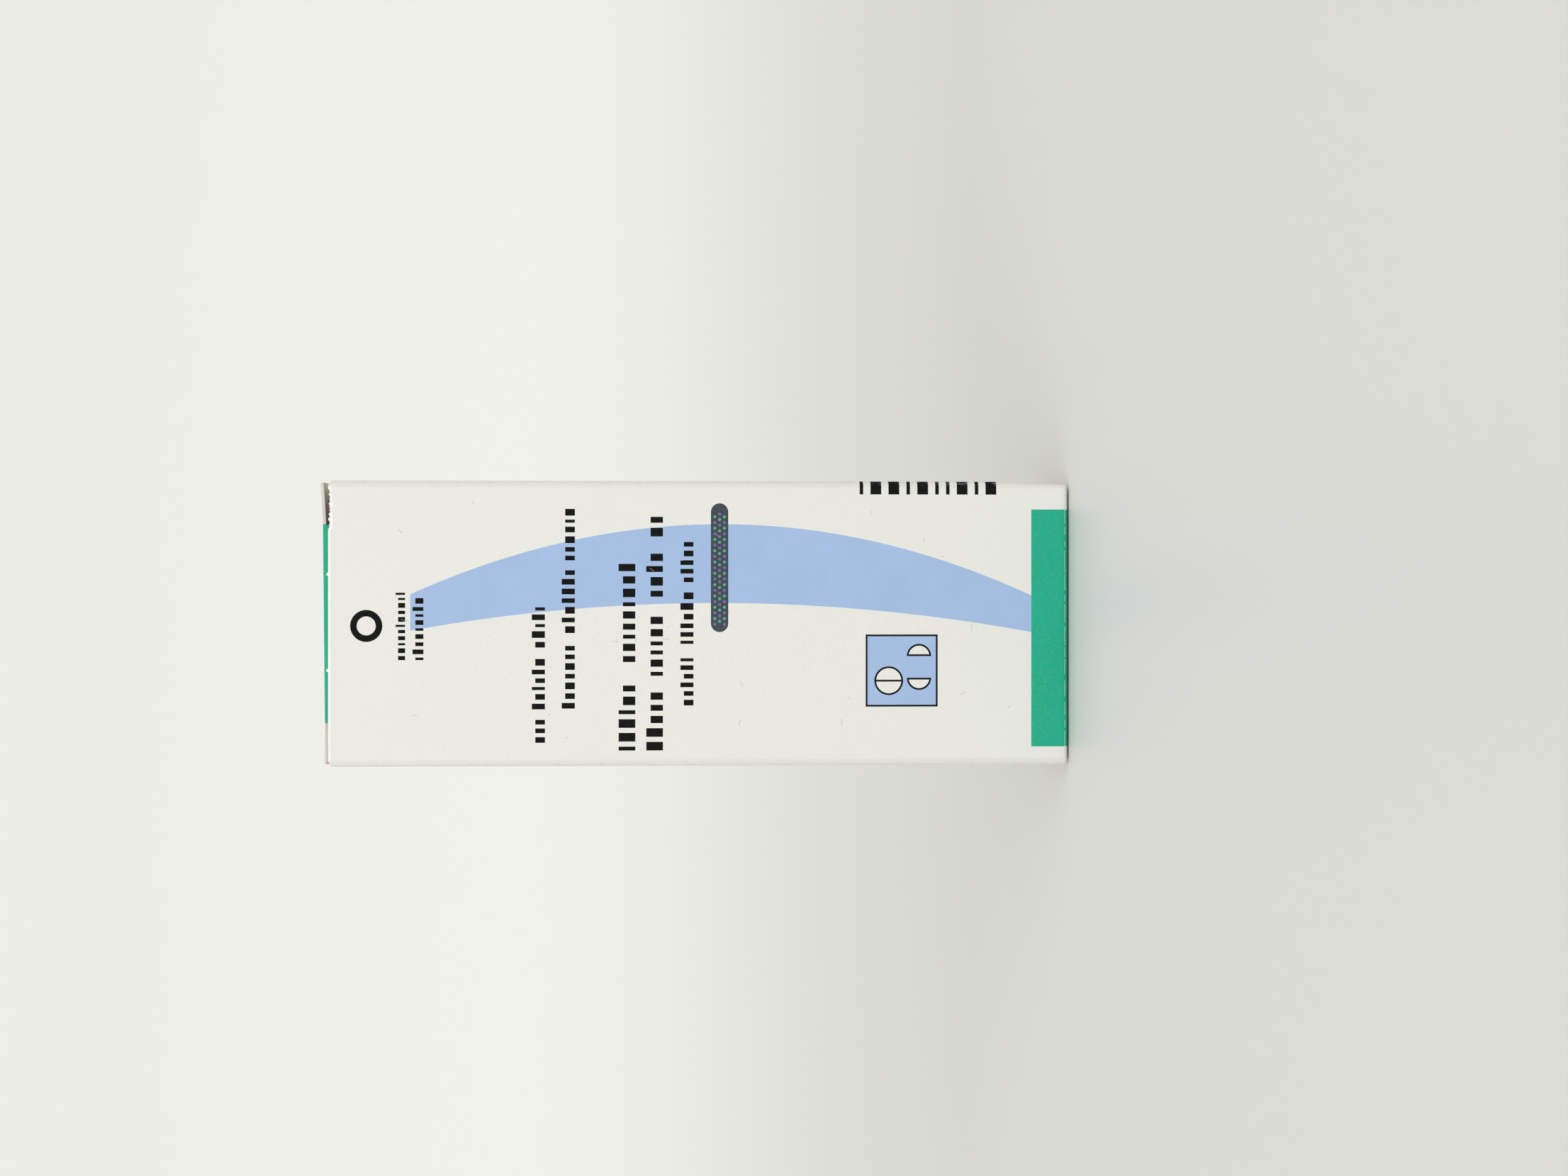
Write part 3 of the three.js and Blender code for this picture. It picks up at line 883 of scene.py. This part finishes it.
def sleeve_folds(walk):
    """Lines along every fold, so that no triangle lies across a bend."""
    lines = []
    for name in ("left_front", "front_right", "right_back", "back_left"):
        stations = walk.fold_stations(name)
        for step, s in enumerate(stations):
            near_panel = step if name in ("left_front", "right_back") else TURN_STEPS - step
            cut = CORNER_TOP + (CUT_EDGE - CORNER_TOP) * near_panel / TURN_STEPS
            low = TAB_END if "front" in name else HEIGHT - cut
            high = HEIGHT - TAB_END if "back" in name else cut
            lines.append(((s, low), (s, high)))
    edge = WIDTH / 2 - CORNER - LID_ROOT
    left, front, right, back, glue = (walk.marks[name] for name in (*PANELS, "glue"))
    for step in range(TURN_STEPS):
        down = BEND * (1 - math.sin(math.pi / 2 * step / TURN_STEPS))
        for s0, s1 in ((left[1], front[0] + edge), (front[1] - edge, right[0])):
            lines.append(((s0, down), (s1, down)))
        for s0, s1 in ((right[1], back[0] + edge), (back[0] + edge + 2 * LID_ROOT, glue[0])):
            lines.append(((s0, HEIGHT - down), (s1, HEIGHT - down)))
    arc = BEND * math.pi / 2
    for start, toward_back in ((left[0], False), (right[0], True)):
        for bend_z, upward in ((BEND_START, 1), (LOW_BEND, -1)):
            ends = (along_side(start, toward_back, upward * y) for y in (FLAP_FRONT, FLAP_BACK))
            near, far = sorted(ends)
            for step in range(TURN_STEPS + 1):
                z = bend_z + upward * arc * step / TURN_STEPS
                lines.append(((near, z), (far, z)))
    return lines


def grid_points(x0, x1, y0, y1, pitch):
    columns = max(2, round((x1 - x0) / pitch))
    rows = max(2, round((y1 - y0) / pitch))
    return [
        (x0 + (x1 - x0) * column / columns, y0 + (y1 - y0) * row / rows)
        for column in range(1, columns)
        for row in range(1, rows)
    ]


def crushed(place):
    """The lower right edge is pushed in a little, and the lower front edge stands off the table."""
    most, tall, power = CRUSH
    share = max(0.0, 1 - place.z / tall) * max(0.0, place.x / (WIDTH / 2)) ** power
    rise, high, deep = FRONT_RISE
    near_front = min(1.0, max(0.0, 1 - (place.y + DEPTH / 2) / deep))
    lifted = place.z + rise * near_front * max(0.0, 1 - place.z / high)
    return Vector((place.x - most * share * share, place.y, lifted))


def make_sleeve(materials):
    walk = sleeve_walk()
    front = walk.marks["front"]
    middle = sum(front) / 2

    def fold(point):
        s, z = point
        base, normal = walk.at(s)
        for name in PANELS:
            start, end = walk.marks[name]
            if start < s < end and LOW_BEND < z < BEND_START:
                across = math.sin(math.pi * (s - start) / (end - start))
                along = math.sin(math.pi * (z - LOW_BEND) / (BEND_START - LOW_BEND))
                base = base + normal * PANEL_BULGE * across * math.sqrt(along)
        upward = 1 if z > HEIGHT / 2 else -1
        side_panel = any(walk.marks[name][0] < s < walk.marks[name][1] for name in ("left", "right"))
        if side_panel:
            place = bent_inward(base, normal, z, BEND_START if upward > 0 else LOW_BEND, upward)
        else:
            beyond = max(0.0, BEND - z, z - HEIGHT + BEND)
            rounded = BEND - math.sqrt(max(0.0, BEND**2 - beyond**2))
            place = Vector((base.x - normal.x * rounded, base.y - normal.y * rounded, z))
        return crushed(place)

    points = []
    for name in PANELS:
        points += grid_points(*walk.marks[name], LOW_BEND, BEND_START, GRID)
        points += grid_points(*walk.marks[name], LOW_BEND, LOW_BEND + BASE_GRID_HEIGHT, BASE_GRID)
    shapes = front_print(middle, front[1] + CORNER)
    sheet = cut_sheet(sleeve_outline(walk), sleeve_folds(walk), points, shapes)
    piece = fold_sheet("carton_card", sheet, fold, materials)
    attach(piece, "box")
    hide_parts("carton")


# Lids
def crease_wear(start, end, along):
    """Short pale lines where the ink is worn off along a fold."""
    draw = random.Random(9)
    marks = []
    x = start
    while x < end:
        long = draw.uniform(*WEAR_LENGTHS)
        line = rectangle(x, min(x + long, end), along - WEAR_HALF, along + WEAR_HALF)
        marks.append((INK["worn"], line))
        x += long + draw.uniform(*WEAR_GAPS)
    return marks


def lid_walk():
    turn = BEND * math.pi / 2
    flat = DEPTH / 2 - BEND - (HINGE_Y - LID_REACH + CREASE)
    steps = (
        ("root", HEIGHT - BEND - JOIN, 0), ("hinge", turn, BEND), ("lid", flat, 0),
        ("crease", CREASE * math.pi / 2, CREASE), ("tongue", TONGUE_LENGTH, LID_REACH),
    )
    return Walk((DEPTH / 2, JOIN), (0, 1), steps)


def lid_outline(walk):
    root = walk.marks["hinge"][1]
    front = sum(walk.marks["crease"]) / 2
    end = walk.marks["tongue"][1]
    nose_in, nose_back = LID_NOSE
    side = [
        (LID_ROOT, 0.0), (LID_ROOT, root), (LID_HALF, root + LID_FLARE), (LID_HALF, front - LID_CORNER),
        (LID_HALF - nose_in, front - nose_back), (LID_HALF - LID_CORNER, front),
        (TONGUE_HALF + TONGUE_NECK, front), (TONGUE_HALF, front + TONGUE_NECK),
    ]
    corner_x, corner_t = TONGUE_HALF - TONGUE_CORNER, end - TONGUE_CORNER
    for step in range(TONGUE_CORNER_STEPS + 1):
        angle = math.pi / 2 * step / TONGUE_CORNER_STEPS
        across, along = TONGUE_CORNER * math.cos(angle), TONGUE_CORNER * math.sin(angle)
        side.append((corner_x + across, corner_t + along))
    return [(x, t) for x, t in side] + [(-x, t) for x, t in reversed(side)]


def make_lid(name, node, lifts, turned, materials):
    """One tuck lid with the strip of panel it folds from; the lower one is the upper one turned over."""
    walk = lid_walk()
    left_lift, right_lift = lifts

    def fold(point):
        u, t = point
        x = -u
        place, _ = walk.at(t)
        y, z = place
        most = right_lift if x > 0 else left_lift
        share = x / LID_HALF
        fade = max(0.0, min(1.0, (HINGE_Y - y) / LID_REACH))
        z += most * share * share * fade
        return crushed(Vector((x, -y, HEIGHT - z))) if turned else Vector((x, y, z))

    marks = walk.marks
    lines = [((-LID_ROOT, t), (LID_ROOT, t)) for t in walk.fold_stations("hinge")]
    lines += [((-TONGUE_HALF, t), (TONGUE_HALF, t)) for t in walk.fold_stations("crease", CREASE_STEPS)]
    line_end = TONGUE_HALF - EDGE_GAP
    for k in range(1, TONGUE_LINES):
        t = marks["tongue"][0] + TONGUE_LINED * k / TONGUE_LINES
        lines.append(((-line_end, t), (line_end, t)))
    points = grid_points(-LID_HALF, LID_HALF, *marks["lid"], LID_GRID)
    points += grid_points(-TONGUE_HALF, TONGUE_HALF, *marks["tongue"], LID_GRID)
    if turned:
        x0, x1, _ = GREEN_BAND
        shapes = [(INK["green"], rectangle(-x1, -x0, 0.0, marks["lid"][0] + LOWER_LID_GREEN))]
        shapes += crease_wear(-x1, -x0, marks["hinge"][0] + WEAR_PLACE)
    else:
        x0, x1 = LID_GREEN
        start, end = marks["lid"][0] + LID_GREEN_START, marks["tongue"][0] + LID_GREEN_END
        shapes = [(INK["green"], rectangle(-x1, -x0, start, end))]
    sheet = cut_sheet(lid_outline(walk), lines, points, shapes)
    piece = fold_sheet(name, sheet, fold, materials)
    side = -1 if turned else 1
    start = Vector((0, side * DEPTH / 2, HEIGHT / 2 + side * (HEIGHT / 2 - BEND - BLEND_BEFORE)))
    end = Vector((0, side * (DEPTH / 2 - BEND - BLEND_AFTER), HEIGHT / 2 + side * HEIGHT / 2))
    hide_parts(node)
    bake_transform(piece)


# Contents
def oval(half_x, half_z, middle_z=0.0):
    """A full-ended oval loop, between an ellipse and a rectangle."""
    def eased(value):
        return math.copysign(abs(value) ** (2 / OVAL_POWER), value)

    angles = [math.tau * (k + 0.5) / OVAL_POINTS for k in range(OVAL_POINTS)]
    return [(half_x * eased(math.cos(a)), middle_z + half_z * eased(math.sin(a))) for a in angles]


def inset_at(x, z, half_x, half_z):
    """How far in from the oval's edge a point lies, found by halving."""
    low, high = -1.0, half_z - EDGE_GAP
    for _ in range(INSET_HALVINGS):
        inset = (low + high) / 2
        reach = (abs(x) / (half_x - inset)) ** OVAL_POWER + (abs(z) / (half_z - inset)) ** OVAL_POWER
        if reach > 1:
            high = inset
        else:
            low = inset
    return low


def between(table, value):
    """Reads a table of steps with straight lines between them."""
    if value <= table[0][0]:
        return table[0][1]
    for (x0, y0), (x1, y1) in zip(table, table[1:]):
        if value <= x1:
            return y0 + (y1 - y0) * (value - x0) / (x1 - x0)
    return table[-1][1]


def tablet_mesh():
    """A domed oval tablet with a score line across its lower face."""
    half_x, half_z, half_y = (size / 2 for size in TABLET)
    shapes = [(0, oval(half_x - inset, half_z - inset)) for inset in TABLET_RINGS]
    score_end = half_z - SCORE_END_GAP
    lines = [((x, -score_end), (x, score_end)) for x in (-SCORE_HALF_WIDTH, 0.0, SCORE_HALF_WIDTH)]
    inner_x, inner_z = half_x - DOME_INSET, half_z - DOME_INSET
    points = grid_points(-inner_x, inner_x, -inner_z, inner_z, TABLET_GRID)
    flat, faces, _ = cut_sheet(oval(half_x, half_z), lines, points, shapes)
    upper = []
    lower = []
    for x, z in flat:
        share = min(1.0, max(0.0, inset_at(x, z, half_x, half_z) / DOME_INSET))
        height = TABLET_EDGE / 2 + (half_y - TABLET_EDGE / 2) * math.sqrt(1 - (1 - share) ** 2)
        cut = SCORE_DEPTH * max(0.0, 1 - abs(x) / SCORE_HALF_WIDTH)
        upper.append(Vector((x, height, z)) * MM)
        lower.append(Vector((x, -min(height, half_y - cut), z)) * MM)
    count = len(flat)
    sides = {(a, b) for face in faces for a, b in zip(face, face[1:] + face[:1])}
    polygons = [tuple(face) for face in faces]
    polygons += [tuple(count + index for index in reversed(face)) for face in faces]
    polygons += [(b, a, count + a, count + b) for a, b in sorted(sides) if (b, a) not in sides]
    mesh = bpy.data.meshes.new("tablet")
    mesh.from_pydata(lower + upper, [], polygons)
    remove_loose(mesh)
    smooth(mesh, TABLET_SMOOTH_ANGLE)
    return mesh


def add_content(piece, node):
    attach(piece, "box")
    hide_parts(node)


def make_tablets(surface):
    shared = tablet_mesh()
    shared.materials.append(surface)
    for strip in range(1, STRIPS + 1):
        turn = Matrix.Rotation(0.0 if strip <= STRIPS_IN_FRONT else math.pi, 4, "Z")
        for number in range(1, TABLETS_PER_STRIP + 1):
            node = f"tablet_{strip}_{number}"
            low, high = node_box(node)
            mesh = shared.copy()
            mesh.transform(Matrix.Translation((low + high) / 2 * MM) @ turn)
            add_content(add_object(f"pressed_{node}", mesh), node)


def make_film(strip, surface):
    """One formed film: a flat sheet whose pockets follow their profile."""
    low, high = node_box(f"lidding_foil_{strip}")
    half_x, tall = (high.x - low.x) / 2, high.z - low.z
    side = -1 if strip <= STRIPS_IN_FRONT else 1
    back = high.y if side < 0 else low.y
    boxes = [node_box(f"tablet_{strip}_{number}") for number in range(1, TABLETS_PER_STRIP + 1)]
    centres = [(box_low.z + box_high.z) / 2 - low.z for box_low, box_high in boxes]
    corners = ((1, 1, 0.0), (-1, 1, 0.25), (-1, 0, 0.5), (1, 0, 0.75))
    outline = []
    for right, top, start in corners:
        x = right * (half_x - STRIP_CORNER)
        z = tall - STRIP_CORNER if top else STRIP_CORNER
        outline += disc(x, z, STRIP_CORNER, points=6, start=start, turn=0.25)
    shapes = []
    for inset, _ in POCKET_PROFILE:
        shapes += [(0, oval(POCKET_MOUTH[0] - inset, POCKET_MOUTH[1] - inset, z)) for z in centres]

    def fold(point):
        x, z = point
        middle = min(centres, key=lambda centre: abs(z - centre))
        height = between(POCKET_PROFILE, inset_at(x, z - middle, *POCKET_MOUTH))
        return Vector((-side * x, back + side * height, low.z + z))

    sheet = cut_sheet(outline, [], [], shapes)
    piece = fold_sheet(f"formed_film_{strip}", sheet, fold, (surface,), FILM)
    add_content(piece, f"blister_film_{strip}")


def make_leaflet(surface):
    """The leaflet's paper, folded to and fro with round folds."""
    low, high = node_box("leaflet")
    radius = (PAPER + PAPER_GAP) / 2
    edge = radius + PAPER / 2
    wide = high.x - low.x
    steps = [("run_0", wide - edge, 0)]
    for layer in range(1, PAPER_LAYERS):
        turn = radius if layer % 2 else -radius
        ends = 1 if layer == PAPER_LAYERS - 1 else 2
        steps.append((f"turn_{layer}", math.pi * radius, turn))
        steps.append((f"run_{layer}", wide - ends * edge, 0))
    walk = Walk((low.x, low.y + PAPER / 2), (1, 0), steps)
    stations = [0.0]
    for name, _, turn in steps:
        stations += walk.fold_stations(name, PAPER_TURN_STEPS if turn else PAPER_RUN_STEPS)[1:]
    rows = (low.z, (low.z + high.z) / 2, high.z)
    flat = [Vector((s, z)) for s in stations for z in rows]
    faces = [
        (3 * k + row, 3 * k + 3 + row, 3 * k + 4 + row, 3 * k + 1 + row)
        for k in range(len(stations) - 1)
        for row in (0, 1)
    ]

    def fold(point):
        base, _ = walk.at(point.x)
        return Vector((base.x, base.y, point.y))

    sheet = (flat, faces, [0] * len(faces))
    piece = fold_sheet("folded_leaflet", sheet, fold, (surface,), PAPER, 0.0)
    add_content(piece, "leaflet")


def make_foil(strip, surface):
    """The foil keeps its solid's shape, with its own surface."""
    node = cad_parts[f"lidding_foil_{strip}"]
    mesh = node.data.copy()
    mesh.transform(node.matrix_world)
    mesh.materials.clear()
    mesh.materials.append(surface)
    piece = add_object(f"sealed_foil_{strip}", mesh)
    add_content(piece, f"lidding_foil_{strip}")


def make_contents():
    film, foil = blister_surface(), foil_surface()
    make_tablets(tablet_surface())
    make_leaflet(thin_paper())
    for strip in range(1, STRIPS + 1):
        make_film(strip, film)
        make_foil(strip, foil)


# Stage
def ground_surface():
    """A matt ground whose colour goes from a darker floor tone to a lighter backdrop tone as it turns
    upward: painted light, standing in for how light falls on the sweep.
    """
    shader = Shader("ground_surface", 0.42, Specular_IOR_Level=0.4)
    parts = shader.add("ShaderNodeSeparateXYZ", ("Vector", shader.place))
    path = shader.math("ADD", parts.outputs["Y"], parts.outputs["Z"])
    rise = shader.window(path, PAINTED_LIGHT_RISE[0] * MM, PAINTED_LIGHT_RISE[1] * MM)
    # Painted light: the darker floor tone rises to the lighter backdrop tone along the sweep
    shader.colour(shader.mix(rise, SHADED_FLOOR_TONE, LIT_BACKDROP_TONE))
    shader.bump(shader.noise(1.2), strength=0.15, distance=0.05)
    return shader.material


def make_stage():
    """A table that turns up into a backdrop, far enough away for views from behind."""
    sweep_start = 90.0
    sweep_radius = 260.0
    sweep_steps = 32
    wide = 4000.0
    high = 3000.0
    profile = [(-wide, 0.0), (sweep_start, 0.0)]
    for step in range(1, sweep_steps + 1):
        angle = math.pi / 2 * step / sweep_steps
        forward, rise = sweep_radius * math.sin(angle), sweep_radius * (1 - math.cos(angle))
        profile.append((sweep_start + forward, rise))
    profile.append((sweep_start + sweep_radius, high))
    points = [Vector((side * wide, y, z)) * MM for y, z in profile for side in (-1, 1)]
    faces = [(2 * k, 2 * k + 1, 2 * k + 3, 2 * k + 2) for k in range(len(profile) - 1)]
    mesh = bpy.data.meshes.new("ground")
    mesh.from_pydata(points, [], faces)
    mesh.materials.append(ground_surface())
    mesh.shade_smooth()
    ground = add_object("ground", mesh)


def add_lamp(name, place, size, power):
    data = bpy.data.lights.new(name, "AREA")
    data.shape = "SQUARE"
    data.size = size * MM
    data.energy = power
    lamp = add_object(name, data)
    lamp.location = Vector(place) * MM
    aim = Vector((0.0, 0.0, HEIGHT / 2)) - Vector(place)
    lamp.rotation_euler = aim.to_track_quat("-Z", "Y").to_euler()
    lamp.visible_glossy = False


def make_light():
    """Light from all round, two broad lamps, and HORIZON where the stage ends."""
    world = bpy.data.worlds.new("room")
    world.use_nodes = True
    background = world.node_tree.nodes["Background"]
    background.inputs["Strength"].default_value = WORLD_LIGHT
    path = world.node_tree.nodes.new("ShaderNodeLightPath")
    mixer = world.node_tree.nodes.new("ShaderNodeMix")
    mixer.data_type = "RGBA"
    seen = [channel / WORLD_LIGHT for channel in HORIZON]
    mixer.inputs[MIX_FIRST].default_value = (*SKY, 1.0)
    mixer.inputs[MIX_SECOND].default_value = (*seen, 1.0)
    world.node_tree.links.new(path.outputs["Is Camera Ray"], mixer.inputs["Factor"])
    world.node_tree.links.new(mixer.outputs[MIX_RESULT], background.inputs["Color"])
    bpy.context.scene.world = world
    add_lamp("window", *WINDOW_LAMP)
    add_lamp("fill", *FILL_LAMP)


make_camera()
bpy.context.scene.view_settings.view_transform = "Standard"
CARD_MATERIALS = (
    coated_card(),
    printed("blue_ink", BLUE),
    printed("green_ink", GREEN, mottle=0.08),
    printed("black_ink", BLACK, roughness=0.6, gloss=0.12, paling=0.015),
    printed("slate_ink", SLATE),
    printed("green_dots", DOT_GREEN),
    printed("violet_dots", DOT_VIOLET),
    printed("dust_fibres", DUST, roughness=0.8),
    # Painted highlight along the front's upper edge, also the bare pulp of the torn face
    printed("edge_highlight_and_pulp", HIGHLIGHT_AND_PULP_WHITE, roughness=0.7),
    printed("worn_green", WORN_GREEN),
    raw_card(),
)
make_sleeve(CARD_MATERIALS)
make_lid("top_lid_card", "top_lid", (LEFT_LIFT, RIGHT_LIFT), False, CARD_MATERIALS)
make_lid("bottom_lid_card", "bottom_lid", (0.0, 0.0), True, CARD_MATERIALS)
make_contents()
make_stage()
make_light()
